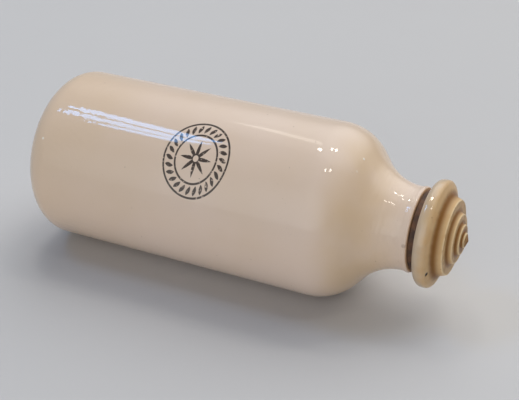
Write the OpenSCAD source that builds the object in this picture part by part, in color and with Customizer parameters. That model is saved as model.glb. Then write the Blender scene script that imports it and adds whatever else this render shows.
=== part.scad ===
// Stoneware hot water bottle lying on its side, with a screw stopper and a rubber washer.
// The bottle's axis runs along X: the foot is at the -X end and the stopper at the +X end.
// All three pieces are turned shapes, so each outline below is a list of [radius, height] points,
// with heights measured along the axis from the foot.

/* [Body] */
// Outer diameter of the straight side
body_d = 100; // [86:1:114]
// Height above the foot at which the straight side ends and the shoulder starts
side_h = 178; // [140:1:220]
// Thickness of the fired wall
wall_t = 7; // [5:0.5:9]
// Radius of the corner that leads from the side towards the foot
base_corner_r = 16; // [12:1:20]
// Radius of the slower curve that runs from that corner to the foot
base_sweep_r = 42; // [32:1:50]
// Slope from the axis, in degrees, where the two base curves meet
base_slope = 55; // [48:1:62]
// Slope from the axis, in degrees, with which the lower curve meets the foot
foot_slope = 76; // [70:1:82]
// Width of the flat ring that the bottle stands on
foot_ring_w = 8; // [5:0.5:12]
// Depth of the dished middle of the base
foot_dish = 1.5; // [0.5:0.25:3]

/* [Shoulder and neck] */
// Radius of the rounded shoulder
shoulder_r = 30; // [24:1:36]
// Length of the straight slope between the shoulder and the neck
shoulder_run = 7; // [2:0.5:12]
// Radius of the hollow curve that leads into the neck
neck_sweep_r = 30; // [22:1:38]
// Outer diameter of the neck at its narrowest
neck_d = 47.4; // [44:0.2:52]
// Height of the lip above the narrowest place of the neck
lip_h = 4; // [3:0.25:7]
// How much further out than the neck the lip reaches
lip_flare = 0.9; // [0:0.1:2]
// Rounding of the lip's outer edge
lip_round = 1.4; // [0.4:0.1:2]
// Bevel at the mouth, inside the lip
mouth_bevel = 1.2; // [0.4:0.1:2]
// Radius of the turn from the bore into the hollow shoulder
throat_r = 8; // [4:0.5:12]

/* [Stopper] */
// Diameter of the shank, taken at the middle of its screw thread
shank_d = 30; // [26:0.5:32]
// How far the shank reaches below the lip when the stopper is home
shank_reach = 18; // [12:0.5:26]
// Radial clearance between the shank and the neck's bore
shank_clear = 0.4; // [0.3:0.05:0.8]
// Bevel at the end of the shank
shank_bevel = 2; // [0.5:0.25:3]
// Diameter of the flange
flange_d = 60; // [54:0.5:70]
// Height of the flange's rim
rim_h = 7; // [6:0.2:8]
// Rounding of the rim towards the washer
rim_round_low = 3.4; // [2:0.2:3.6]
// Rounding of the rim towards the rings
rim_round_top = 4; // [2:0.2:5]
// Diameter of the first and largest ring at its edge
ring_1_d = 41.6; // [38:0.2:48]
// Height of the first ring's edge above the flange's seat
ring_1_h = 14.6; // [13:0.1:15.4]
// Height of the first ring's side, from the hollow below it to its edge
ring_1_side = 4.8; // [3.6:0.1:5.6]
// Diameter of the second ring at its edge
ring_2_d = 27.2; // [23:0.2:32]
// Height of the second ring's edge above the flange's seat
ring_2_h = 17.5; // [16.6:0.1:18.2]
// Height of the second ring's side
ring_2_side = 3; // [2:0.1:3.4]
// Diameter of the third ring at its edge
ring_3_d = 16.4; // [13:0.2:20]
// Height of the third ring's edge above the flange's seat
ring_3_h = 19.6; // [18.9:0.1:20.2]
// Height of the third ring's side
ring_3_side = 2.1; // [1.2:0.1:2.6]
// Diameter of the small knob on top
knob_d = 8; // [6:0.2:10]
// Height of the knob's edge above the flange's seat
knob_h = 21; // [20.5:0.1:21.8]
// Height of the knob's side
knob_side = 1.4; // [0.8:0.1:1.8]
// Height of the whole head above the flange's seat
head_h = 22.6; // [22:0.1:24]
// Slope of the rings' sides from the axis, in degrees
ring_slope = 20; // [5:1:30]
// Rounding of the rings' edges
ring_round = 0.4; // [0.2:0.1:1]
// Rounding at the bottom of the grooves
groove_round = 2.2; // [0.4:0.1:3]
// Rounding of the hollow between the flange and the first ring
cove_round = 4; // [1:0.25:6]

/* [Washer] */
// Outer diameter of the rubber washer
washer_d = 45; // [38:0.5:48]
// Thickness of the washer between the lip and the flange
washer_t = 4.5; // [3:0.25:6]
// Clearance between the washer's hole and the shank
washer_clear = 0.3; // [0.3:0.05:1]
// Rounding of the washer's outer edges
washer_round = 1; // [0.2:0.1:1.4]

/* [Hidden] */
facets = 96;
bend_steps = 18;
corner_steps = 6;
body_r = body_d / 2;
neck_r = neck_d / 2;
lip_r = neck_r + lip_flare;
shank_r = shank_d / 2;
flange_r = flange_d / 2;
bore_r = shank_r + shank_clear;

// Points of an arc that starts at p and turns from slope a to slope b; a hollow arc has a negative radius
function bend(p, r, a, b) = [
    for (i = [0:bend_steps])
        let (t = a + (b - a) * i / bend_steps)
        p + r * [cos(t) - cos(a), sin(t) - sin(a)]
];

function last(points) = points[len(points) - 1];

// Points of one corner at p between its neighbours a and b, rounded with radius r
// but never beyond half of the shorter side
function corner(a, p, b, r) =
    let (u = (a - p) / norm(a - p))
    let (v = (b - p) / norm(b - p))
    let (half = acos(u * v) / 2)
    let (reach = min(r / tan(half), norm(a - p) / 2, norm(b - p) / 2))
    let (middle = p + (u + v) / norm(u + v) * reach / cos(half))
    let (from = p + u * reach - middle)
    let (to = p + v * reach - middle)
    let (sweep = 180 - 2 * half)
    [
        for (i = [0:corner_steps])
            let (t = sweep * i / corner_steps)
            middle + (from * sin(sweep - t) + to * sin(t)) / sin(sweep)
    ];

// Outline through corners given as [radius, height, rounding]
function rounded(corners) = [
    for (i = [0:len(corners) - 1])
        let (c = corners[i])
        let (p = [c[0], c[1]])
        let (a = corners[(i + len(corners) - 1) % len(corners)])
        let (b = corners[(i + 1) % len(corners)])
        each c[2] > 0 ? corner([a[0], a[1]], p, [b[0], b[1]], c[2]) : [p]
];

// Slope of the straight stretch that joins the shoulder and the neck
sweep_sum = shoulder_r + neck_sweep_r;
shoulder_slope = acos((sweep_sum - body_r + neck_r) / norm([sweep_sum, shoulder_run]))
    - atan2(shoulder_run, sweep_sum);

// Outer line of the bottle, from the foot to the lip
foot_r = body_r
    - base_corner_r * (1 - cos(base_slope))
    - base_sweep_r * (cos(base_slope) - cos(foot_slope));
base_sweep = bend([foot_r, 0], base_sweep_r, -foot_slope, -base_slope);
base_corner = bend(last(base_sweep), base_corner_r, -base_slope, 0);
shoulder = bend([body_r, side_h], shoulder_r, 0, shoulder_slope);
run_end = last(shoulder) + shoulder_run * [-sin(shoulder_slope), cos(shoulder_slope)];
neck = bend(run_end, -neck_sweep_r, shoulder_slope, 0);
lip_z = last(neck)[1] + lip_h;
lip = corner(last(neck), [lip_r, lip_z], [bore_r, lip_z], lip_round);
mouth = [[bore_r + mouth_bevel, lip_z], [bore_r, lip_z - mouth_bevel]];

// Inner line of the bottle, from the bore back to the floor
hollow_shoulder = bend([body_r - wall_t, side_h], shoulder_r - wall_t, 0, shoulder_slope);
throat_start_r = bore_r + throat_r * (1 - cos(shoulder_slope));
throat_drop = (last(hollow_shoulder)[0] - throat_start_r) / tan(shoulder_slope);
throat = bend([throat_start_r, last(hollow_shoulder)[1] + throat_drop], -throat_r, shoulder_slope, 0);
floor_edge = [foot_r - wall_t * cos(foot_slope), wall_t * sin(foot_slope)];
hollow_sweep = bend(floor_edge, base_sweep_r - wall_t, -foot_slope, -base_slope);
hollow_corner = bend(last(hollow_sweep), base_corner_r - wall_t, -base_slope, 0);
inner_line = concat(hollow_sweep, hollow_corner, hollow_shoulder, throat);

// Dished middle of the base, inside the standing ring
dish_r = foot_r - foot_ring_w;
dish = [[0, foot_dish], [dish_r - foot_dish, foot_dish], [dish_r, 0]];

// Heights of the stopper's seat and of the tip of its head above the foot
seat_z = lip_z + washer_t;
length = seat_z + head_h;
// Each ring's edge radius, edge height, height of its side and rounding of the hollow below it
rings = [
    [ring_1_d / 2, ring_1_h, ring_1_side, cove_round],
    [ring_2_d / 2, ring_2_h, ring_2_side, groove_round],
    [ring_3_d / 2, ring_3_h, ring_3_side, groove_round],
    [knob_d / 2, knob_h, knob_side, groove_round]
];

// Turns an upright piece to lie along X on the table, with the middle of the length over the origin
// and the middle of a facet lowest, so that it rests on a flat and not on an edge
module lying() {
    translate([-length / 2, 0, body_r])
        rotate([0, 90, 0])
            rotate([0, 0, 180 / facets])
                children();
}

module bottle() {
    reversed = [for (i = [len(inner_line) - 1:-1:0]) inner_line[i]];
    floor_middle = [[0, floor_edge[1]]];
    color("antiquewhite")
        lying()
            rotate_extrude($fn = facets)
                polygon(concat(
                    dish, base_sweep, base_corner, shoulder, neck, lip, mouth, reversed, floor_middle));
}

module sealing_washer() {
    hole_r = shank_r + washer_clear;
    color([0.24, 0.18, 0.16])
        lying()
            translate([0, 0, lip_z])
                rotate_extrude($fn = facets)
                    polygon(rounded([
                        [hole_r, 0, 0],
                        [washer_d / 2, 0, washer_round],
                        [washer_d / 2, washer_t, washer_round],
                        [hole_r, washer_t, 0]
                    ]));
}

module stopper() {
    shank_l = washer_t + shank_reach;
    shank = [
        [0, -shank_l, 0],
        [shank_r - shank_bevel, -shank_l, 0],
        [shank_r, shank_bevel - shank_l, 0],
        [shank_r, 0, 0]
    ];
    rim = [
        [flange_r, 0, rim_round_low],
        [flange_r, rim_h, rim_round_top]
    ];
    ring_edges = [
        for (ring = rings)
            each [
                [ring[0] + ring[2] * tan(ring_slope), ring[1] - ring[2], ring[3]],
                [ring[0], ring[1], ring_round]
            ]
    ];
    color([0.80, 0.68, 0.50])
        lying()
            translate([0, 0, seat_z])
                rotate_extrude($fn = facets)
                    polygon(rounded(concat(shank, rim, ring_edges, [[0, head_h, 0]])));
}

bottle();
sealing_washer();
stopper();
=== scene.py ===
"""Dresses a stoneware hot water bottle that lies on its side, with its rubber washer and screw stopper.

Every piece is turned on one axis that runs along X, with the foot at the -X end. Sizes of the pieces and
their finishes are in millimetres: radii from that axis, heights from the foot along it. The studio is in
metres.
"""

import logging
import math
from dataclasses import dataclass
from enum import Enum
from functools import reduce
from typing import Sequence, Union

import bmesh
import bpy
from mathutils import Matrix, Vector


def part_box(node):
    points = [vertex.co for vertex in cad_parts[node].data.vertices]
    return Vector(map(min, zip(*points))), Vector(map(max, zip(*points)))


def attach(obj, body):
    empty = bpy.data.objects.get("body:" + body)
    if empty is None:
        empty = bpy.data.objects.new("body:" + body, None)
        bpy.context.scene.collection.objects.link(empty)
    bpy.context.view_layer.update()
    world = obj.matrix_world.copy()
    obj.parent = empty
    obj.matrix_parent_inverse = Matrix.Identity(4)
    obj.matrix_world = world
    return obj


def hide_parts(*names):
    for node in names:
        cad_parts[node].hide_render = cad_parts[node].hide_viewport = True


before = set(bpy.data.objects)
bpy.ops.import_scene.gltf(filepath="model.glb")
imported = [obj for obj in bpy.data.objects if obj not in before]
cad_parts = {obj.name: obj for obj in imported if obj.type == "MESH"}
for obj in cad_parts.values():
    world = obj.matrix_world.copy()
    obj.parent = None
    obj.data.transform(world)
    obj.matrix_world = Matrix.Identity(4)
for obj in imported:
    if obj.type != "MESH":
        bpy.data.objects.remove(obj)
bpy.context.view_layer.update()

log = logging.getLogger("bottle")

MM = 0.001
MERGE_DISTANCE = 0.001 * MM
BOTTLE_LOW, BOTTLE_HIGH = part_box("bottle")
FOOT = Vector((BOTTLE_LOW.x, 0.0, (BOTTLE_LOW.z + BOTTLE_HIGH.z) / 2))
LENGTHWISE = Vector((1.0, 0.0, 0.0))
ACROSS = Vector((0.0, 1.0, 0.0))
Colour = tuple[float, float, float]
Place = tuple[float, float, float]
# Two values between which something starts or ends
Band = tuple[float, float]


def shade(red: int, green: int, blue: int) -> Colour:
    """Turns a colour written as 0 to 255 into the light values that a shader uses.

    Args:
        red: Red share of the written colour.
        green: Green share of it.
        blue: Blue share of it.

    Returns:
        The three shares as light, from 0 to 1.
    """
    shares = (red / 255, green / 255, blue / 255)
    return tuple(c / 12.92 if c <= 0.04045 else ((c + 0.055) / 1.055) ** 2.4 for c in shares)


class Section:
    """A half section that is drawn with straight and bent strokes and then turned on the axis."""

    # Largest share of a side that one corner takes, just under half so that two corners never meet
    LARGEST_SHARE = 0.49

    def __init__(self, radius: float, height: float) -> None:
        """Starts the section at a point.

        Args:
            radius: Radius of the point.
            height: Its height.
        """
        self.mesh = bmesh.new()
        self.start = self.mesh.verts.new(self.place(radius, height))
        self.tip = self.start
        self.corners: list[tuple[bmesh.types.BMVert, float]] = []

    @staticmethod
    def place(radius: float, height: float) -> Vector:
        """Gives the point of the section's plane at a radius and a height."""
        return FOOT + Vector((height, 0.0, radius)) * MM

    def line(self, radius: float, height: float, rounding: float = 0.0, steps: int = 1) -> None:
        """Draws a straight stroke.

        Args:
            radius: Radius of the stroke's end.
            height: Height of the stroke's end.
            rounding: Radius that rounds the corner at the end, or 0 for a sharp one.
            steps: Number of equal parts that the stroke is divided into.
        """
        shift = (self.place(radius, height) - self.tip.co) / steps
        for _ in range(steps):
            drawn = bmesh.ops.extrude_vert_indiv(self.mesh, verts=[self.tip])
            self.tip = drawn["verts"][0]
            bmesh.ops.translate(self.mesh, verts=[self.tip], vec=shift)
        if rounding > 0.0:
            self.corners.append((self.tip, rounding))

    def bend(self, radius: float, start: float, stop: float, steps: int) -> None:
        """Draws an arc that goes on from the last stroke.

        Args:
            radius: Radius of the arc, negative for a hollow one.
            start: Slope of the surface at the start, in degrees from the axis.
            stop: Slope at the end.
            steps: Number of parts.
        """
        lean = math.radians(start)
        middle = self.tip.co - radius * MM * Vector((math.sin(lean), 0.0, math.cos(lean)))
        drawn = bmesh.ops.spin(self.mesh, geom=[self.tip], cent=middle, axis=ACROSS,
                               angle=math.radians(stop - start), steps=steps,
                               use_merge=False, use_duplicate=False)
        self.tip = next(v for v in drawn["geom_last"] if isinstance(v, bmesh.types.BMVert))

    def close(self) -> None:
        """Joins the last point to the first one, for a piece with a hole."""
        bmesh.ops.contextual_create(self.mesh, geom=[self.tip, self.start])

    def round_corners(self, parts: int) -> None:
        """Rounds the corners that were drawn with a rounding, never beyond half of the shorter side.

        Args:
            parts: Number of parts of each rounded corner.
        """
        for corner, radius in self.corners:
            sides = [edge.other_vert(corner).co - corner.co for edge in corner.link_edges]
            reach = radius * MM / math.tan(sides[0].angle(sides[1]) / 2)
            limit = self.LARGEST_SHARE * min(side.length for side in sides)
            bmesh.ops.bevel(self.mesh, geom=[corner], offset=min(reach, limit), offset_type="OFFSET",
                            affect="VERTICES", segments=parts, profile=0.5, material=-1)

    def turn(self, facets: int, parts: int = 6) -> bmesh.types.BMesh:
        """Turns the section into a closed shell.

        Args:
            facets: Number of facets round the axis.
            parts: Number of parts of each rounded corner.

        Returns:
            The shell, with its faces pointing outwards.
        """
        self.round_corners(parts)
        bmesh.ops.spin(self.mesh, geom=self.mesh.verts[:] + self.mesh.edges[:], cent=FOOT,
                       axis=LENGTHWISE, angle=math.tau, steps=facets, use_merge=True,
                       use_duplicate=False)
        bmesh.ops.remove_doubles(self.mesh, verts=self.mesh.verts, dist=MERGE_DISTANCE)
        bmesh.ops.recalc_face_normals(self.mesh, faces=self.mesh.faces)
        return self.mesh


def radius_of(point: Vector) -> float:
    """Distance of a point from the axis, in millimetres."""
    return math.hypot(point.y, point.z - FOOT.z) / MM


def height_of(point: Vector) -> float:
    """Height of a point above the foot along the axis, in millimetres."""
    return (point.x - FOOT.x) / MM


def outward_of(point: Vector) -> Vector:
    """Direction that leads straight from the axis to a point."""
    return Vector((0.0, point.y, point.z - FOOT.z)).normalized()


def as_object(name: str, mesh: bmesh.types.BMesh,
              finishes: Sequence[bpy.types.Material]) -> bpy.types.Object:
    """Makes an object of a finished mesh, with smooth shading.

    Args:
        name: Name of the piece.
        mesh: Its mesh, which is freed.
        finishes: Its materials, by the faces' material numbers.

    Returns:
        The object, at the origin.
    """
    data = bpy.data.meshes.new(name)
    for face in mesh.faces:
        face.smooth = True
    mesh.to_mesh(data)
    mesh.free()
    for finish in finishes:
        data.materials.append(finish)
    piece = bpy.data.objects.new(name, data)
    bpy.context.scene.collection.objects.link(piece)
    return piece


class ThreadSide(Enum):
    """The two walls that a screw thread is cut into."""

    NECK = "neck"
    SHANK = "shank"


@dataclass(frozen=True)
class Thread:
    """The coarse right-hand screw thread that the neck and the stopper share.

    What stands out of a wall fades at the thread's ends. What is cut into it stays open, so that the
    stopper can leave the neck, except at the shank's collar. Below the start it runs on for the tail at
    most. Points within the slack count as on the wall.
    """

    pitch: float = 6.5
    depth: float = 1.0
    fullness: float = 1.5
    run_out: float = 3.0
    tail: float = 5.0
    slack: float = 0.1

    def ease(self, share: float) -> float:
        """Goes smoothly from 0 at an end of the thread to 1 at the end of its run-out."""
        part = min(max(share / self.run_out, 0.0), 1.0)
        return part * part * (3.0 - 2.0 * part)

    def lift(self, point: Vector, low: float, high: float, side: ThreadSide) -> float:
        """How far the wall moves out from its middle radius at a point.

        Args:
            point: A point of the wall.
            low: Height at which the thread starts.
            high: Height at which it ends.
            side: Which wall the point is on.

        Returns:
            The lift in millimetres, outwards.
        """
        height = height_of(point)
        turn = math.atan2(point.z - FOOT.z, point.y) / math.tau
        wave = math.cos(math.tau * (height / self.pitch - turn))
        shape = self.depth * math.tanh(self.fullness * wave) / math.tanh(self.fullness)
        start, stop = self.ease(height - low), self.ease(high - height)
        if side is ThreadSide.NECK:
            return shape * (start * stop if shape < 0.0 else 1.0)
        return shape * (start * stop if shape > 0.0 else stop)

    def cut(self, mesh: bmesh.types.BMesh, middle: float, low: float, high: float,
            side: ThreadSide) -> None:
        """Cuts the thread into the wall of a turned shell.

        A groove that runs out where the neck widens ends where the wall is already clear of it.

        Args:
            mesh: The shell.
            middle: Radius of the wall before it is cut.
            low: Height at which the thread starts.
            high: Height at which it ends.
            side: Which wall it is cut into.
        """
        widest = middle + (self.depth if side is ThreadSide.NECK else self.slack)
        for vert in mesh.verts:
            radius, height = radius_of(vert.co), height_of(vert.co)
            on_wall = middle - self.slack < radius < widest
            if not on_wall or not low - self.tail < height < high + self.slack:
                continue
            lift = self.lift(vert.co, low, high, side)
            if side is ThreadSide.NECK and lift > 0.0:
                lift = max(lift - (radius - middle), 0.0)
            vert.co += outward_of(vert.co) * lift * MM


class Field:
    """A number that varies over a surface, kept as a socket of a material's nodes."""

    def __init__(self, tree: bpy.types.NodeTree, socket: bpy.types.NodeSocket) -> None:
        """Takes the socket and the node tree that it is in."""
        self.tree = tree
        self.socket = socket

    def work(self, operation: str, *others: Union["Field", float]) -> "Field":
        """Writes one Math node.

        Args:
            operation: The node's operation.
            others: What follows this field in the operation.

        Returns:
            The result as a field.
        """
        node = self.tree.nodes.new("ShaderNodeMath")
        node.operation = operation
        self.tree.links.new(self.socket, node.inputs[0])
        for place, other in enumerate(others, 1):
            if isinstance(other, Field):
                self.tree.links.new(other.socket, node.inputs[place])
            else:
                node.inputs[place].default_value = other
        return Field(self.tree, node.outputs[0])

    def __add__(self, other: Union["Field", float]) -> "Field":
        """Sum."""
        return self.work("ADD", other)

    def __sub__(self, other: Union["Field", float]) -> "Field":
        """Difference."""
        return self.work("SUBTRACT", other)

    def __mul__(self, other: Union["Field", float]) -> "Field":
        """Product."""
        return self.work("MULTIPLY", other)

    def __abs__(self) -> "Field":
        """Size without sign."""
        return self.work("ABSOLUTE")

    def root(self) -> "Field":
        """Square root."""
        return self.work("SQRT")

    def flipped(self) -> "Field":
        """One minus this."""
        return self * -1.0 + 1.0

    def largest(self, *others: "Field") -> "Field":
        """At each point, the largest of this field and others."""
        return reduce(lambda most, other: most.work("MAXIMUM", other), others, self)

    def rise(self, low: float, high: float) -> "Field":
        """Goes smoothly from 0 to 1.

        Args:
            low: Value at which the result is still 0.
            high: Value at which it is 1.

        Returns:
            The result as a field.
        """
        node = self.tree.nodes.new("ShaderNodeMapRange")
        node.interpolation_type = "SMOOTHSTEP"
        self.tree.links.new(self.socket, node.inputs["Value"])
        node.inputs["From Min"].default_value = low
        node.inputs["From Max"].default_value = high
        return Field(self.tree, node.outputs["Result"])

    def fall(self, low: float, high: float) -> "Field":
        """Goes smoothly from 1 at low to 0 at high."""
        return self.rise(low, high).flipped()

    def near(self, middle: float, half: float, soft: float) -> "Field":
        """Is 1 within half of the middle and falls to 0 over a soft edge."""
        return abs(self - middle).fall(half, half + soft)


@dataclass(frozen=True)
class Ripple:
    """A random up and down: its width, height, finer layers and factors along X, Y and Z."""

    size: float
    height: float = 1.0
    detail: float = 2.0
    stretch: tuple[float, float, float] = (1.0, 1.0, 1.0)


@dataclass(frozen=True)
class Clouds:
    """Random clouds: their width, the noise at which they start and are whole, and their share."""

    size: float
    low: float
    high: float
    share: float = 1.0
    detail: float = 2.0


@dataclass(frozen=True)
class Dots:
    """Scattered dots: their mean distance, through the thickness too, their radius and share."""

    spacing: float
    radius: float
    share: float = 1.0


@dataclass(frozen=True)
class Spot:
    """One round mark: its height, side and rise from the foot, its radius and share."""

    place: Place
    radius: float
    share: float = 1.0


class Recipe:
    """Writes the nodes of one material, in millimetres on the object's own coordinates."""

    # Shares of a dot's and a spot's radius within which they are whole
    DOT_HEART = 0.5
    SPOT_HEART = 0.4

    def __init__(self, name: str) -> None:
        """Starts a material with its shader and the fields that all finishes use.

        Args:
            name: Name of the material.
        """
        self.material = bpy.data.materials.new(name)
        self.material.use_nodes = True
        self.tree = self.material.node_tree
        self.shader = self.tree.nodes["Principled BSDF"]
        coordinates = self.tree.nodes.new("ShaderNodeTexCoord")
        mapping = self.tree.nodes.new("ShaderNodeMapping")
        mapping.inputs["Scale"].default_value = (1 / MM,) * 3
        mapping.inputs["Location"].default_value = -FOOT / MM
        self.tree.links.new(coordinates.outputs["Object"], mapping.inputs["Vector"])
        self.place = mapping.outputs["Vector"]
        self.height, self.side, self.up = self.parts(self.place)
        self.radius = (self.side * self.side + self.up * self.up).root()
        self.lean = self.parts(coordinates.outputs["Normal"])[0]

    def parts(self, socket: bpy.types.NodeSocket) -> tuple[Field, Field, Field]:
        """Splits a vector.

        Args:
            socket: The vector.

        Returns:
            Its X, Y and Z as fields.
        """
        node = self.tree.nodes.new("ShaderNodeSeparateXYZ")
        self.tree.links.new(socket, node.inputs[0])
        return tuple(Field(self.tree, out) for out in node.outputs)

    def noise(self, ripple: Ripple) -> Field:
        """Writes a ripple.

        Args:
            ripple: Its width, height, layers and stretch.

        Returns:
            The variation, from 0 to the ripple's height.
        """
        mapping = self.tree.nodes.new("ShaderNodeMapping")
        mapping.inputs["Scale"].default_value = ripple.stretch
        self.tree.links.new(self.place, mapping.inputs["Vector"])
        node = self.tree.nodes.new("ShaderNodeTexNoise")
        node.inputs["Scale"].default_value = 1.0 / ripple.size
        node.inputs["Detail"].default_value = ripple.detail
        self.tree.links.new(mapping.outputs["Vector"], node.inputs["Vector"])
        return Field(self.tree, node.outputs[0]) * ripple.height

    def clouds(self, clouds: Clouds) -> Field:
        """Writes clouds, from 0 to their share."""
        noise = self.noise(Ripple(clouds.size, detail=clouds.detail))
        return noise.rise(clouds.low, clouds.high) * clouds.share

    def dots(self, dots: Dots) -> Field:
        """Writes scattered dots.

        Args:
            dots: Their distance, radius and share.

        Returns:
            The share inside a dot, with soft edges.
        """
        node = self.tree.nodes.new("ShaderNodeTexVoronoi")
        node.inputs["Scale"].default_value = 1.0 / dots.spacing
        self.tree.links.new(self.place, node.inputs["Vector"])
        away, edge = Field(self.tree, node.outputs["Distance"]), dots.radius / dots.spacing
        return away.fall(self.DOT_HEART * edge, edge) * dots.share

    def spot(self, spot: Spot) -> Field:
        """Writes one round mark.

        Args:
            spot: Its place, radius and share.

        Returns:
            The share in its middle, falling to 0 at its radius.
        """
        height, side, up = (own - at for own, at in zip((self.height, self.side, self.up), spot.place))
        away = (height * height + side * side + up * up).root()
        return away.fall(self.SPOT_HEART * spot.radius, spot.radius) * spot.share

    def colour(self, share: Field, under: Union[Colour, bpy.types.NodeSocket],
               over: Colour) -> bpy.types.NodeSocket:
        """Lays one colour over another.

        Args:
            share: How much of the upper colour shows.
            under: The lower colour, or the result of an earlier layer.
            over: The upper colour.

        Returns:
            The mixed colour.
        """
        node = self.tree.nodes.new("ShaderNodeMix")
        node.data_type = "RGBA"
        # The Mix node's sockets share names, so they are taken by number
        factor, first, second, mixed = node.inputs[0], node.inputs[6], node.inputs[7], node.outputs[2]
        self.tree.links.new(share.socket, factor)
        if isinstance(under, bpy.types.NodeSocket):
            self.tree.links.new(under, first)
        else:
            first.default_value = (*under, 1.0)
        second.default_value = (*over, 1.0)
        return mixed

    def finish(self, colour: bpy.types.NodeSocket, roughness: Field,
               relief: Field) -> bpy.types.Material:
        """Joins colour, roughness and relief to the shader.

        Args:
            colour: The surface's colour.
            roughness: Its roughness.
            relief: Its relief in millimetres.

        Returns:
            The finished material.
        """
        bump = self.tree.nodes.new("ShaderNodeBump")
        bump.inputs["Distance"].default_value = MM
        self.tree.links.new(relief.socket, bump.inputs["Height"])
        self.tree.links.new(colour, self.shader.inputs["Base Color"])
        self.tree.links.new(roughness.socket, self.shader.inputs["Roughness"])
        self.tree.links.new(bump.outputs["Normal"], self.shader.inputs["Normal"])
        self.tree.links.new(bump.outputs["Normal"], self.shader.inputs["Coat Normal"])
        return self.material


@dataclass(frozen=True)
class Stamp:
    """A plain printed ornament: an oval of slanted leaves between two lines, with a star inside.

    Its middle lies at a height and at an angle from the horizontal towards the front. Only the outer skin
    of the wall takes ink.
    """

    height: float = 114.0
    angle: float = 43.0
    squeeze: float = 0.86
    outer: float = 19.0
    inner: float = 12.2
    line: float = 0.42
    leaves: int = 26
    leaf_middle: float = 15.6
    leaf_half: float = 2.5
    leaf_width: float = 0.34
    leaf_slant: float = 0.11
    leaf_soft: float = 0.09
    points: int = 8
    star_out: float = 9.6
    star_in: float = 2.6
    star_waist: float = 1.6
    eye: float = 1.5
    soft: float = 0.22
    skin: Band = (2.0, 1.0)

    def mask(self, recipe: Recipe, body_radius: float) -> Field:
        """Draws the ornament on the outside of the body.

        Args:
            recipe: The material that it is printed in.
            body_radius: Radius of the body's straight side.

        Returns:
            1 where there is ink.
        """
        turn = recipe.up.work("ARCTAN2", recipe.side * -1.0)
        across = recipe.height - self.height
        along = (turn - math.radians(self.angle)) * (body_radius * self.squeeze)
        away = (across * across + along * along).root()
        around = along.work("ARCTAN2", across) * (1.0 / math.tau)
        lines = [away.near(radius, self.line, self.soft) for radius in (self.outer, self.inner)]
        fill = (away - self.leaf_middle) * (1.0 / self.leaf_half)
        width = (fill * fill).flipped() * self.leaf_width
        slant = (away - self.leaf_middle) * self.leaf_slant
        vein = abs((around * self.leaves + slant).work("FRACT") - 0.5)
        leaf = (width - vein).rise(0.0, self.leaf_soft)
        spoke = abs((around * self.points).work("FRACT") - 0.5) * 2.0
        edge = spoke.work("POWER", self.star_waist) * (self.star_out - self.star_in) + self.star_in
        star = (edge - away).rise(0.0, 2.0 * self.soft) * away.rise(self.eye, self.eye + self.soft)
        outside = recipe.radius.rise(*(body_radius - depth for depth in self.skin))
        return star.largest(leaf, *lines) * outside


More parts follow.
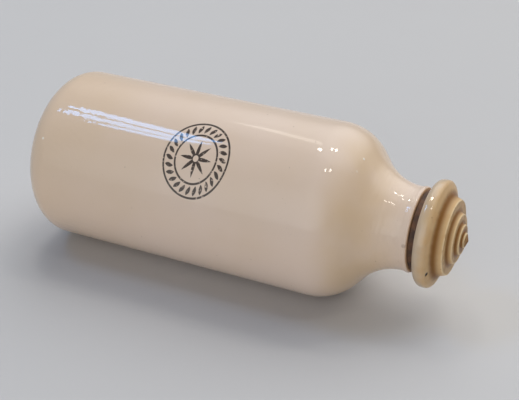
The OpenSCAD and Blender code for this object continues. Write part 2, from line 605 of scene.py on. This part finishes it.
@dataclass(frozen=True)
class BodyGlaze:
    """Glossy cream glaze of the bottle, warm where it pools at the shoulder, wiped off the foot ring,
    with painted shade towards the foot and a painted glint on each pimple.
    """

    name: str = "bottle_glaze"
    cream: Colour = shade(227, 206, 190)
    warm: Colour = shade(221, 198, 174)
    warm_clouds: Clouds = Clouds(55.0, 0.35, 0.75, 0.55, detail=3.0)
    # Colour of the glaze that pools at the shoulder, also laid on as painted shade towards the foot
    pooled_and_foot_shade: Colour = shade(217, 187, 144)
    pool_clouds: Clouds = Clouds(30.0, 0.1, 0.7, 0.6)
    pool_middle: float = 207.0
    pool_half: float = 5.0
    pool_soft: float = 19.0
    # Painted shade: over these heights the glaze is darkened towards the foot end
    foot_painted_shade: Band = (10.0, 110.0)
    foot_shade_share: float = 0.3
    speck: Colour = shade(104, 76, 54)
    large_specks: Dots = Dots(8.0, 0.32)
    small_specks: Dots = Dots(3.4, 0.17, 0.6)
    speck_share: float = 0.7
    speck_depth: float = 0.03
    blemish: Spot = Spot((230.7, -24.1, 2.6), 1.5)
    blemish_share: float = 0.3
    blemish_rise: float = 0.2
    # Whitish colour of one small spot and of the painted glints on the pimples
    bald_and_glint: Colour = shade(240, 232, 222)
    bald_spot: Spot = Spot((16.8, -41.4, 27.7), 1.0)
    large_pimple: Spot = Spot((200.2, -7.1, 39.5), 1.0)
    small_pimple: Spot = Spot((200.1, -16.7, 36.5), 0.9, 0.4)
    pimple_rise: float = 0.1
    ink: Colour = shade(40, 28, 27)
    ink_wear: Clouds = Clouds(1.4, 0.22, 0.42, 0.94)
    stamp: Stamp = Stamp()
    clay: Colour = shade(217, 184, 149)
    clay_dark: Colour = shade(184, 140, 100)
    clay_grain: Clouds = Clouds(1.8, 0.35, 0.75, 0.45, detail=5.0)
    clay_tone: Clouds = Clouds(9.0, 0.4, 0.7, 0.15)
    clay_grit: Dots = Dots(1.6, 0.3, 0.8)
    clay_tooth: Ripple = Ripple(0.7, 0.2, detail=3.0)
    wipe_waver: Ripple = Ripple(12.0, 0.5)
    wipe_heights: Band = (0.7, 0.9)
    wipe_radii: Band = (20.0, 21.0)
    mouth_depths: Band = (0.4, 0.1)
    gloss: float = 0.035
    matt: float = 0.7
    sheen: Ripple = Ripple(18.0, 0.03)
    dimples: Ripple = Ripple(4.5, detail=1.0)
    dimple_heights: Band = (15.0, 90.0)
    dimple_depth: float = 0.14
    dimple_least: float = 0.005
    swell: Ripple = Ripple(26.0, 0.04, detail=1.0)
    ridges: Ripple = Ripple(1.7, 0.26, detail=1.0, stretch=(1.0, 0.12, 0.12))
    ridge_heights: Band = (206.0, 216.0)

    def make(self, body: "Bottle") -> bpy.types.Material:
        """Writes the glaze.

        Args:
            body: The bottle, for the radius of its side and the height of its lip.

        Returns:
            The material.
        """
        recipe = Recipe(self.name)
        colour = recipe.colour(recipe.clouds(self.warm_clouds), self.cream, self.warm)
        pool = recipe.height.near(self.pool_middle, self.pool_half, self.pool_soft)
        pool = pool * recipe.clouds(self.pool_clouds)
        # Painted shade: the pooled colour also darkens the glaze towards the foot end
        foot_painted_shade = recipe.height.fall(*self.foot_painted_shade) * self.foot_shade_share
        colour = recipe.colour(pool.largest(foot_painted_shade), colour, self.pooled_and_foot_shade)
        specks = recipe.dots(self.large_specks).largest(recipe.dots(self.small_specks))
        blemish = recipe.spot(self.blemish)
        dark = (specks * self.speck_share).largest(blemish * self.blemish_share)
        colour = recipe.colour(dark, colour, self.speck)
        pimples_and_painted_glints = recipe.spot(self.large_pimple).largest(recipe.spot(self.small_pimple))
        # The pimples are raised in the relief and also painted whitish, a painted highlight as a glint on
        # each; one small spot takes the same whitish colour
        colour = recipe.colour(recipe.spot(self.bald_spot).largest(pimples_and_painted_glints), colour, self.bald_and_glint)
        ink = self.stamp.mask(recipe, body.body_r) * recipe.clouds(self.ink_wear)
        colour = recipe.colour(ink, colour, self.ink)
        bare = self.bare_clay(recipe, body)
        colour = recipe.colour(bare, colour, self.clay)
        grain = recipe.clouds(self.clay_grain) + recipe.clouds(self.clay_tone)
        grain = grain.largest(recipe.dots(self.clay_grit))
        colour = recipe.colour(bare * grain, colour, self.clay_dark)
        rough = recipe.noise(self.sheen) + self.gloss + bare * (self.matt - self.gloss)
        uneven = recipe.height.fall(*self.dimple_heights) * self.dimple_depth + self.dimple_least
        relief = recipe.noise(self.dimples) * uneven + recipe.noise(self.swell)
        relief = relief + recipe.noise(self.ridges) * recipe.height.rise(*self.ridge_heights)
        relief = relief + recipe.noise(self.clay_tooth) * bare - specks * self.speck_depth
        relief = relief + blemish * self.blemish_rise + pimples_and_painted_glints * self.pimple_rise
        return recipe.finish(colour, rough, relief)

    def bare_clay(self, recipe: Recipe, body: "Bottle") -> Field:
        """Finds the places that were wiped clean of glaze: the standing ring and the mouth.

        Args:
            recipe: The material.
            body: The bottle, for the height of its lip.

        Returns:
            1 where the clay is bare.
        """
        ring = (recipe.height + recipe.noise(self.wipe_waver)).fall(*self.wipe_heights)
        ring = ring * recipe.radius.rise(*self.wipe_radii)
        return ring.largest(recipe.height.rise(*(body.lip_h - depth for depth in self.mouth_depths)))


@dataclass(frozen=True)
class InnerGlaze:
    """Thin glaze inside the bottle, and bare clay on the screw thread."""

    name: str = "bottle_inside"
    glaze: Colour = shade(201, 178, 146)
    stain: Colour = shade(158, 130, 96)
    stain_clouds: Clouds = Clouds(24.0, 0.4, 0.7, detail=4.0)
    stain_dots: Dots = Dots(4.0, 0.3, 0.5)
    clay: Colour = shade(206, 178, 146)
    clay_run: float = 3.0
    clay_share: float = 0.85
    groove_start: float = 0.5
    groove_share: float = 0.5
    sheen: Ripple = Ripple(8.0, 0.1)
    gloss: float = 0.22
    clay_matt: float = 0.4
    tooth: Ripple = Ripple(1.1, 0.05)

    def make(self, body: "Bottle") -> bpy.types.Material:
        """Writes the lining.

        Args:
            body: The bottle, for the places of its bore and thread.

        Returns:
            The material.
        """
        recipe = Recipe(self.name)
        colour = recipe.colour(recipe.clouds(self.stain_clouds), self.glaze, self.stain)
        bare = recipe.height.rise(body.bore_low - self.clay_run, body.bore_low)
        colour = recipe.colour(bare * self.clay_share, colour, self.clay)
        depth = recipe.radius.rise(body.bore_r - self.groove_start, body.bore_r + body.thread.depth)
        colour = recipe.colour(bare * depth * self.groove_share, colour, self.stain)
        colour = recipe.colour(recipe.dots(self.stain_dots), colour, self.stain)
        rough = recipe.noise(self.sheen) + self.gloss + bare * self.clay_matt
        return recipe.finish(colour, rough, recipe.noise(self.tooth))


@dataclass(frozen=True)
class StopperGlaze:
    """Thin ochre glaze of the stopper, paler and glossier on the flange, brown in the grooves partly as
    painted shade, with painted shade on the ring faces and a painted highlight on the crests.

    Its heights are measured from the flange's seat. The gloss is a coat of clear glaze.
    """

    name: str = "stopper_stoneware"
    ochre: Colour = shade(212, 180, 136)
    tan: Colour = shade(208, 171, 124)
    tan_clouds: Clouds = Clouds(7.0, 0.3, 0.7, detail=4.0)
    pale: Colour = shade(199, 180, 157)
    pale_waver: Ripple = Ripple(6.0, 6.0, detail=3.0)
    pale_heights: Band = (0.5, 8.0)
    pale_share: float = 0.88
    # Brown of the pits, and of the painted shade on the ring faces and in the grooves
    brown: Colour = shade(128, 84, 38)
    # Painted shade: the ring faces that look along the axis are painted brown, most on the knob
    face_leans: Band = (0.45, 0.9)
    face_heights: Band = (8.0, 9.5)
    face_shade_clouds: Clouds = Clouds(3.2, 0.3, 0.7, 0.3, detail=3.0)
    face_shade_share: float = 0.1
    knob_heights: Band = (17.0, 21.5)
    knob_shade_share: float = 0.5
    # The brown in the hollows below the rings is partly pooled glaze and dirt and partly painted shade
    groove_splay: float = 0.36
    groove_reach: float = 1.0
    groove_spread: float = 0.8
    groove_share: float = 0.95
    # Pale colour of the painted highlight along the ring crests
    edge: Colour = shade(232, 208, 166)
    edge_highlight_clouds: Clouds = Clouds(5.0, 0.2, 0.5, 0.9)
    edge_drop: float = 0.1
    edge_reach: float = 1.0
    pits: Dots = Dots(5.2, 0.40)
    pit_share: float = 0.6
    pit_depth: float = 0.1
    hole: Spot = Spot((245.3, -25.1, -10.8), 1.8)
    hole_colour: Colour = shade(40, 28, 24)
    hole_depth: float = 0.8
    clay: Colour = shade(206, 176, 140)
    clay_dark: Colour = shade(172, 134, 96)
    clay_heights: Band = (-0.6, -0.2)
    clay_grain: Clouds = Clouds(2.2, 0.35, 0.75, 0.35, detail=5.0)
    thread_stain: float = 0.6
    stain_start: float = 0.5
    sheen: Ripple = Ripple(5.0, 0.1)
    matt: float = 0.3
    clay_matt: float = 0.3
    dimples: Ripple = Ripple(3.5, detail=1.0)
    dimple_pale: float = 0.2
    dimple_least: float = 0.03
    tooth: Ripple = Ripple(0.6)
    tooth_clay: float = 0.08
    tooth_least: float = 0.015
    shine: float = 0.08
    coat_heights: Band = (4.0, 9.0)
    coat_roughness: float = 0.06
    coat_density: float = 1.7

    def make(self, head: "Stopper") -> bpy.types.Material:
        """Writes the glaze.

        Args:
            head: The stopper, for the places of its flange, rings and thread.

        Returns:
            The material.
        """
        recipe = Recipe(self.name)
        rise = recipe.height - head.seat_h
        colour = recipe.colour(recipe.clouds(self.tan_clouds), self.ochre, self.tan)
        waver = recipe.noise(self.pale_waver) - self.pale_waver.height / 2
        neckward = (rise + waver).fall(*self.pale_heights)
        colour = recipe.colour(neckward * self.pale_share, colour, self.pale)
        # Painted shade: the faces that turn along the axis, away from the light, are painted brown
        faces = recipe.lean.rise(*self.face_leans) * rise.rise(*self.face_heights)
        painted_face_shade = rise.rise(*self.knob_heights) * self.knob_shade_share + self.face_shade_share
        painted_face_shade = painted_face_shade + recipe.clouds(self.face_shade_clouds)
        colour = recipe.colour(faces * painted_face_shade, colour, self.brown)
        # Brown in the hollow below each ring: partly pooled glaze and dirt, partly painted shade
        first, *others = (
            self.around(recipe, rise, ring.radius + self.groove_splay * ring.side,
                        ring.height - ring.side, self.groove_reach + self.groove_spread * ring.hollow)
            for ring in head.rings
        )
        colour = recipe.colour(first.largest(*others) * self.groove_share, colour, self.brown)
        # Painted highlight: a pale line along each ring's crest, broken up by clouds
        first, *others = (
            self.around(recipe, rise, ring.radius, ring.height - self.edge_drop, self.edge_reach)
            for ring in head.rings
        )
        edges = first.largest(*others) * recipe.clouds(self.edge_highlight_clouds)
        colour = recipe.colour(edges, colour, self.edge)
        pits = recipe.dots(self.pits)
        colour = recipe.colour(pits * self.pit_share, colour, self.brown)
        hole = recipe.spot(self.hole)
        colour = recipe.colour(hole, colour, self.hole_colour)
        bare = rise.fall(*self.clay_heights)
        colour = recipe.colour(bare, colour, self.clay)
        depth = recipe.radius.fall(head.shank_r - head.thread.depth, head.shank_r + self.stain_start)
        grain = recipe.clouds(self.clay_grain) + depth * self.thread_stain
        colour = recipe.colour(bare * grain, colour, self.clay_dark)
        rough = recipe.noise(self.sheen) + self.matt + bare * self.clay_matt
        relief = recipe.noise(self.dimples) * (neckward * self.dimple_pale + self.dimple_least)
        relief = relief + recipe.noise(self.tooth) * (bare * self.tooth_clay + self.tooth_least)
        relief = relief - pits * self.pit_depth - hole * self.hole_depth
        coat = rise.fall(*self.coat_heights) * bare.flipped() * hole.flipped()
        recipe.tree.links.new(coat.socket, recipe.shader.inputs["Coat Weight"])
        recipe.shader.inputs["Coat Roughness"].default_value = self.coat_roughness
        recipe.shader.inputs["Coat IOR"].default_value = self.coat_density
        recipe.shader.inputs["Specular IOR Level"].default_value = self.shine
        return recipe.finish(colour, rough, relief)

    @staticmethod
    def around(recipe: Recipe, rise: Field, radius: float, height: float, reach: float) -> Field:
        """Is 1 at a circle of the stopper and falls to 0 at a distance from it.

        Args:
            recipe: The material.
            rise: Height above the flange's seat.
            radius: Radius of the circle.
            height: Its height above the seat.
            reach: Distance at which the field is 0.

        Returns:
            The field.
        """
        out, along = recipe.radius - radius, rise - height
        return (out * out + along * along).root().fall(0.0, reach)


@dataclass(frozen=True)
class Rubber:
    """Old brown-black rubber, dull and dusty."""

    name: str = "washer_rubber"
    dark: Colour = shade(62, 43, 33)
    brown: Colour = shade(110, 73, 46)
    brown_clouds: Clouds = Clouds(6.0, 0.3, 0.7, detail=4.0)
    dust: Colour = shade(148, 110, 74)
    dust_clouds: Clouds = Clouds(1.2, 0.55, 0.8, 0.4, detail=3.0)
    sheen: Ripple = Ripple(2.0, 0.2)
    matt: float = 0.55
    tooth: Ripple = Ripple(0.8, 0.08, detail=3.0, stretch=(3.0, 1.0, 1.0))

    def make(self) -> bpy.types.Material:
        """Writes the rubber.

        Returns:
            The material.
        """
        recipe = Recipe(self.name)
        colour = recipe.colour(recipe.clouds(self.brown_clouds), self.dark, self.brown)
        colour = recipe.colour(recipe.clouds(self.dust_clouds), colour, self.dust)
        return recipe.finish(colour, recipe.noise(self.sheen) + self.matt, recipe.noise(self.tooth))


@dataclass
class Bottle:
    """The hollow stoneware body with its foot, shoulder, threaded neck and lip.

    The inset keeps the round body inside the flats of the CAD body's facets.
    """

    name: str = "bottle_body"
    nominal_r: float = 50.0
    inset: float = 0.03
    side_h: float = 178.0
    wall_t: float = 7.0
    base_corner_r: float = 16.0
    base_sweep_r: float = 42.0
    base_slope: float = 55.0
    foot_slope: float = 76.0
    foot_ring_w: float = 8.0
    foot_ring_round: float = 0.8
    foot_dish: float = 1.5
    dish_round: float = 1.5
    shoulder_r: float = 30.0
    shoulder_run: float = 7.0
    neck_sweep_r: float = 30.0
    neck_r: float = 23.7
    lip_rise: float = 4.0
    lip_flare: float = 0.9
    lip_round: float = 1.4
    mouth_bevel: float = 1.2
    throat_r: float = 8.0
    bore_r: float = 15.4
    facets: int = 192
    thread: Thread = Thread()

    def __post_init__(self) -> None:
        """Works out the shoulder's slope and the sizes that follow from it."""
        self.body_r = self.nominal_r - self.inset
        both = self.shoulder_r + self.neck_sweep_r
        drop = (both - self.nominal_r + self.neck_r) / math.hypot(both, self.shoulder_run)
        lean = math.acos(drop) - math.atan2(self.shoulder_run, both)
        rise, turn = math.sin(lean), math.cos(lean)
        self.slope = math.degrees(lean)
        self.run_end = (self.body_r - self.shoulder_r * (1.0 - turn) - self.shoulder_run * rise,
                        self.side_h + self.shoulder_r * rise + self.shoulder_run * turn)
        self.lip_h = self.run_end[1] + self.neck_sweep_r * rise + self.lip_rise
        inner = self.shoulder_r - self.wall_t
        self.hollow_end = (self.body_r - self.wall_t - inner * (1.0 - turn), self.side_h + inner * rise)
        throat_start = self.bore_r + self.throat_r * (1.0 - turn)
        self.bore_low = (self.hollow_end[1] + (self.hollow_end[0] - throat_start) / math.tan(lean)
                         + self.throat_r * rise)

    def section(self) -> Section:
        """Draws the wall from the middle of the base, over the lip and down to the floor inside.

        Returns:
            The section.
        """
        base, foot = math.radians(self.base_slope), math.radians(self.foot_slope)
        foot_r = (self.body_r - self.base_corner_r * (1.0 - math.cos(base))
                  - self.base_sweep_r * (math.cos(base) - math.cos(foot)))
        base_h = (self.base_sweep_r * (math.sin(foot) - math.sin(base))
                  + self.base_corner_r * math.sin(base))
        dish_r = foot_r - self.foot_ring_w
        pen = Section(0.0, self.foot_dish)
        pen.line(dish_r - self.foot_dish, self.foot_dish, rounding=self.dish_round)
        pen.line(dish_r, 0.0, rounding=self.foot_ring_round)
        pen.line(foot_r, 0.0)
        pen.bend(self.base_sweep_r, -self.foot_slope, -self.base_slope, steps=10)
        pen.bend(self.base_corner_r, -self.base_slope, 0.0, steps=14)
        pen.line(self.body_r, self.side_h, steps=24)
        pen.bend(self.shoulder_r, 0.0, self.slope, steps=20)
        pen.line(*self.run_end, steps=3)
        pen.bend(-self.neck_sweep_r, self.slope, 0.0, steps=20)
        pen.line(self.neck_r + self.lip_flare, self.lip_h, rounding=self.lip_round)
        pen.line(self.bore_r + self.mouth_bevel, self.lip_h)
        pen.line(self.bore_r, self.lip_h - self.mouth_bevel)
        pen.line(self.bore_r, self.bore_low, steps=44)
        pen.bend(-self.throat_r, 0.0, self.slope, steps=10)
        pen.line(*self.hollow_end, steps=4)
        pen.bend(self.shoulder_r - self.wall_t, self.slope, 0.0, steps=12)
        pen.line(self.body_r - self.wall_t, base_h, steps=12)
        pen.bend(self.base_corner_r - self.wall_t, 0.0, -self.base_slope, steps=10)
        pen.bend(self.base_sweep_r - self.wall_t, -self.base_slope, -self.foot_slope, steps=6)
        pen.line(0.0, height_of(pen.tip.co))
        return pen

    def build(self) -> bpy.types.Object:
        """Turns the wall, cuts the thread in the neck and glazes both sides.

        Returns:
            The bottle.
        """
        mesh = self.section().turn(self.facets)
        self.thread.cut(mesh, self.bore_r, self.bore_low, self.lip_h - self.mouth_bevel, ThreadSide.NECK)
        mesh.normal_update()
        for face in mesh.faces:
            face.material_index = int(self.is_inside(face))
        return as_object(self.name, mesh, [BodyGlaze().make(self), InnerGlaze().make(self)])

    def is_inside(self, face: bmesh.types.BMFace) -> bool:
        """Says whether a face belongs to the hollow inside.

        Args:
            face: A face of the wall.

        Returns:
            True for the floor, the bore, and the walls that face the axis.
        """
        middle = face.calc_center_median()
        height = height_of(middle)
        floor = self.wall_t / 2 < height < self.wall_t * 1.5 and face.normal.dot(LENGTHWISE) > 0.5
        bore = height > self.bore_low and radius_of(middle) < self.bore_r + self.mouth_bevel
        wall = height > self.wall_t and face.normal.dot(outward_of(middle)) < 0.0
        return floor or bore or wall


@dataclass(frozen=True)
class Ring:
    """One turned ring of the stopper's head: its edge, the height of its side and the hollow below it.

    Heights are measured from the flange's seat.
    """

    radius: float
    height: float
    side: float
    hollow: float


@dataclass
class Stopper:
    """The stoneware screw: shank with thread, round flange, three rings and a small knob."""

    seat_h: float
    name: str = "stopper_screw"
    shank_r: float = 15.0
    shank_l: float = 22.5
    shank_bevel: float = 2.0
    shank_round: float = 0.6
    collar: float = 5.2
    flange_r: float = 30.0
    rim_h: float = 7.0
    rim_round_low: float = 3.4
    rim_round_top: float = 4.0
    ring_slope: float = 20.0
    ring_round: float = 0.4
    knob_tip: float = 1.0
    tip_drop: float = 0.15
    head_h: float = 22.6
    facets: int = 160
    corner_parts: int = 8
    thread: Thread = Thread()
    rings: tuple[Ring, ...] = (
        Ring(20.8, 14.6, 4.8, 4.0),
        Ring(13.6, 17.5, 3.0, 2.2),
        Ring(8.2, 19.6, 2.1, 2.2),
        Ring(4.0, 21.0, 1.4, 2.2),
    )

    def section(self) -> Section:
        """Draws the stopper from the end of the shank to the tip of the knob.

        Returns:
            The section.
        """
        seat, low = self.seat_h, self.seat_h - self.shank_l
        pen = Section(0.0, low)
        pen.line(self.shank_r - self.shank_bevel, low, rounding=self.shank_round)
        pen.line(self.shank_r, low + self.shank_bevel)
        pen.line(self.shank_r, seat, steps=56)
        pen.line(self.flange_r, seat, rounding=self.rim_round_low)
        pen.line(self.flange_r, seat + self.rim_h, rounding=self.rim_round_top)
        splay = math.tan(math.radians(self.ring_slope))
        for ring in self.rings:
            foot_r, foot_h = ring.radius + ring.side * splay, ring.height - ring.side
            pen.line(foot_r, seat + foot_h, rounding=ring.hollow)
            pen.line(ring.radius, seat + ring.height, rounding=self.ring_round)
        knob = self.rings[-1]
        fall = (self.head_h - knob.height) / knob.radius
        pen.line(self.knob_tip, seat + self.head_h - self.knob_tip * fall)
        pen.line(0.0, seat + self.head_h - self.tip_drop)
        return pen

    def build(self) -> bpy.types.Object:
        """Turns the stopper, cuts its thread and glazes it.

        Returns:
            The stopper.
        """
        mesh = self.section().turn(self.facets, self.corner_parts)
        low = self.seat_h - self.shank_l
        self.thread.cut(mesh, self.shank_r, low, self.seat_h - self.collar, ThreadSide.SHANK)
        return as_object(self.name, mesh, [StopperGlaze().make(self)])


@dataclass
class Washer:
    """The rubber ring that is squeezed between the lip and the flange."""

    low: float
    name: str = "washer_ring"
    hole_r: float = 15.3
    outer_r: float = 22.5
    thickness: float = 4.5
    rounding: float = 1.0
    facets: int = 128

    def build(self) -> bpy.types.Object:
        """Turns the ring and gives it its rubber.

        Returns:
            The washer.
        """
        pen = Section(self.hole_r, self.low)
        pen.line(self.outer_r, self.low, rounding=self.rounding)
        pen.line(self.outer_r, self.low + self.thickness, rounding=self.rounding)
        pen.line(self.hole_r, self.low + self.thickness)
        pen.close()
        return as_object(self.name, pen.turn(self.facets), [Rubber().make()])


@dataclass(frozen=True)
class FloorPaper:
    """Pale grey paper under the bottle."""

    name: str = "floor_paper"
    pale: Colour = shade(202, 202, 204)
    grey: Colour = shade(195, 195, 198)
    grey_waver: Ripple = Ripple(300.0, 0.5)
    sheen: Ripple = Ripple(40.0, 0.1)
    matt: float = 0.6
    tooth: Ripple = Ripple(3.0, 0.02)

    def make(self) -> bpy.types.Material:
        """Writes the paper.

        Returns:
            The material.
        """
        recipe = Recipe(self.name)
        colour = recipe.colour(recipe.noise(self.grey_waver), self.pale, self.grey)
        return recipe.finish(colour, recipe.noise(self.sheen) + self.matt, recipe.noise(self.tooth))


DAYLIGHT: Colour = (0.24, 0.53, 1.0)
LAMPLIGHT: Colour = (1.0, 0.93, 0.82)


class PanelShape(Enum):
    """Shapes of a studio light."""

    SQUARE = "RECTANGLE"
    ROUND = "DISK"


@dataclass(frozen=True)
class Panel:
    """A soft studio light that faces the bottle, with its roll in degrees."""

    name: str
    place: Place
    width: float
    height: float
    brightness: float
    colour: Colour
    shape: PanelShape = PanelShape.SQUARE
    roll: float = 0.0

    def hang(self, aim: Vector) -> None:
        """Hangs the light with its width across the bottle, but for its roll.

        Args:
            aim: The point that it faces.
        """
        lamp = bpy.data.lights.new(self.name, "AREA")
        lamp.shape = self.shape.value
        lamp.size, lamp.size_y = self.width, self.height
        area = self.width * self.height * (math.pi / 4 if self.shape is PanelShape.ROUND else 1.0)
        lamp.energy = self.brightness * math.pi * area
        lamp.color = self.colour
        back = (Vector(self.place) - aim).normalized()
        side = (ACROSS - back * ACROSS.dot(back)).normalized()
        turn = Matrix((side, back.cross(side), back)).transposed()
        holder = bpy.data.objects.new(self.name, lamp)
        roll = Matrix.Rotation(math.radians(self.roll), 4, "Z")
        holder.matrix_world = Matrix.Translation(self.place) @ turn.to_4x4() @ roll
        bpy.context.scene.collection.objects.link(holder)


@dataclass(frozen=True)
class Glow:
    """A soft glow in the room, strongest in one direction; its start is the cosine of its spread."""

    way: Place
    start: float
    strength: float

    def field(self, tree: bpy.types.NodeTree) -> Field:
        """Writes the glow.

        Args:
            tree: The nodes of the world.

        Returns:
            Its strength by direction.
        """
        ways = tree.nodes.new("ShaderNodeTexCoord")
        facing = tree.nodes.new("ShaderNodeVectorMath")
        facing.operation = "DOT_PRODUCT"
        facing.inputs[1].default_value = Vector(self.way).normalized()
        tree.links.new(ways.outputs["Generated"], facing.inputs[0])
        return Field(tree, facing.outputs["Value"]).rise(self.start, 1.0) * self.strength


@dataclass
class Studio:
    """The pale floor, the soft lights and the camera."""

    floor_size: float = 8.0
    sky: Colour = (1.0, 0.995, 0.975)
    sky_low: float = 0.07
    horizon: float = 0.42
    glow_behind: Glow = Glow((0.16, 0.60, 0.76), 0.6, 1.93)
    glow_front: Glow = Glow((0.05, -0.94, 0.22), 0.6, 1.4)
    lens: float = 82.2
    sensor: float = 36.0
    camera_place: Place = (0.2652, -0.5371, 0.3794)
    camera_aim: Place = (0.00507, 0.00038, 0.0447)
    panel_aim: Place = (0.0, 0.0, 0.05)
    panels: tuple[Panel, ...] = (
        Panel("pane_back", (-1.03, -0.14, 1.86), 0.16, 0.40, 10.0, DAYLIGHT, roll=-35.0),
        Panel("pane_middle", (-1.06, -0.37, 1.84), 0.15, 0.36, 10.0, DAYLIGHT, roll=-25.0),
        Panel("pane_front", (-1.06, -0.56, 1.83), 0.12, 0.20, 10.0, DAYLIGHT, roll=-12.0),
        Panel("lamp_a", (-0.42, 0.44, 1.8), 0.11, 0.24, 20.0, LAMPLIGHT, roll=-20.0),
        Panel("lamp_b", (0.12, 0.61, 1.8), 0.14, 0.14, 20.0, LAMPLIGHT, PanelShape.ROUND),
        Panel("lamp_c", (0.34, 0.66, 1.8), 0.14, 0.14, 20.0, LAMPLIGHT, PanelShape.ROUND),
        Panel("lamp_d", (0.42, -0.36, 1.8), 0.12, 0.12, 20.0, LAMPLIGHT, PanelShape.ROUND),
        Panel("lamp_e", (0.68, -0.26, 1.8), 0.12, 0.12, 20.0, LAMPLIGHT, PanelShape.ROUND),
        Panel("batten", (-0.68, 0.89, 1.8), 0.12, 0.45, 2.0, LAMPLIGHT, roll=-37.0),
    )

    def build(self) -> None:
        """Sets up floor, light and camera."""
        self.lay_floor()
        self.light()
        self.set_camera()
        bpy.context.scene.view_settings.view_transform = "Standard"

    def lay_floor(self) -> None:
        """Lays the floor under the bottle."""
        mesh = bmesh.new()
        bmesh.ops.create_grid(mesh, x_segments=1, y_segments=1, size=self.floor_size / 2)
        as_object("floor", mesh, [FloorPaper().make()])

    def light(self) -> None:
        """Hangs the panels and sets the light of the room.

        The room glows high up behind the bottle and low in front of it. Where it is seen or mirrored, it
        is as pale as the floor.
        """
        for panel in self.panels:
            panel.hang(Vector(self.panel_aim))
        world = bpy.data.worlds.new("room")
        world.use_nodes = True
        tree = world.node_tree
        glow = self.glow_behind.field(tree) + self.glow_front.field(tree)
        rays = tree.nodes.new("ShaderNodeLightPath")
        seen, mirrored, through = (
            Field(tree, rays.outputs[kind])
            for kind in ("Is Camera Ray", "Is Glossy Ray", "Is Transmission Ray")
        )
        pale = seen.largest(mirrored, through) * self.horizon
        strength = (glow + self.sky_low).largest(pale)
        background = tree.nodes["Background"]
        background.inputs["Color"].default_value = (*self.sky, 1.0)
        tree.links.new(strength.socket, background.inputs["Strength"])
        bpy.context.scene.world = world

    def set_camera(self) -> None:
        """Puts the camera at the photograph's place."""
        data = bpy.data.cameras.new("camera")
        data.lens, data.sensor_width = self.lens, self.sensor
        camera = bpy.data.objects.new("camera", data)
        way = Vector(self.camera_aim) - Vector(self.camera_place)
        camera.matrix_world = (Matrix.Translation(self.camera_place)
                               @ way.to_track_quat("-Z", "Y").to_matrix().to_4x4())
        bpy.context.scene.collection.objects.link(camera)
        bpy.context.scene.camera = camera


def main() -> None:
    """Builds the studio and the three pieces and puts each on its body."""
    logging.basicConfig(level=logging.INFO, format="%(name)s: %(message)s")
    Studio().build()
    bottle = Bottle()
    washer = Washer(low=bottle.lip_h)
    stopper = Stopper(seat_h=bottle.lip_h + washer.thickness)
    for maker, node, body, slot in (
        (bottle, "bottle", "bottle", "bottle_glaze"),
        (washer, "sealing_washer", "washer", "washer_rubber"),
        (stopper, "stopper", "stopper", "stopper_stoneware"),
    ):
        piece = maker.build()
        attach(piece, body)
        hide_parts(node)
        log.info("%s stands for %s, %d faces", piece.name, node, len(piece.data.polygons))


if __name__ == "__main__":
    main()
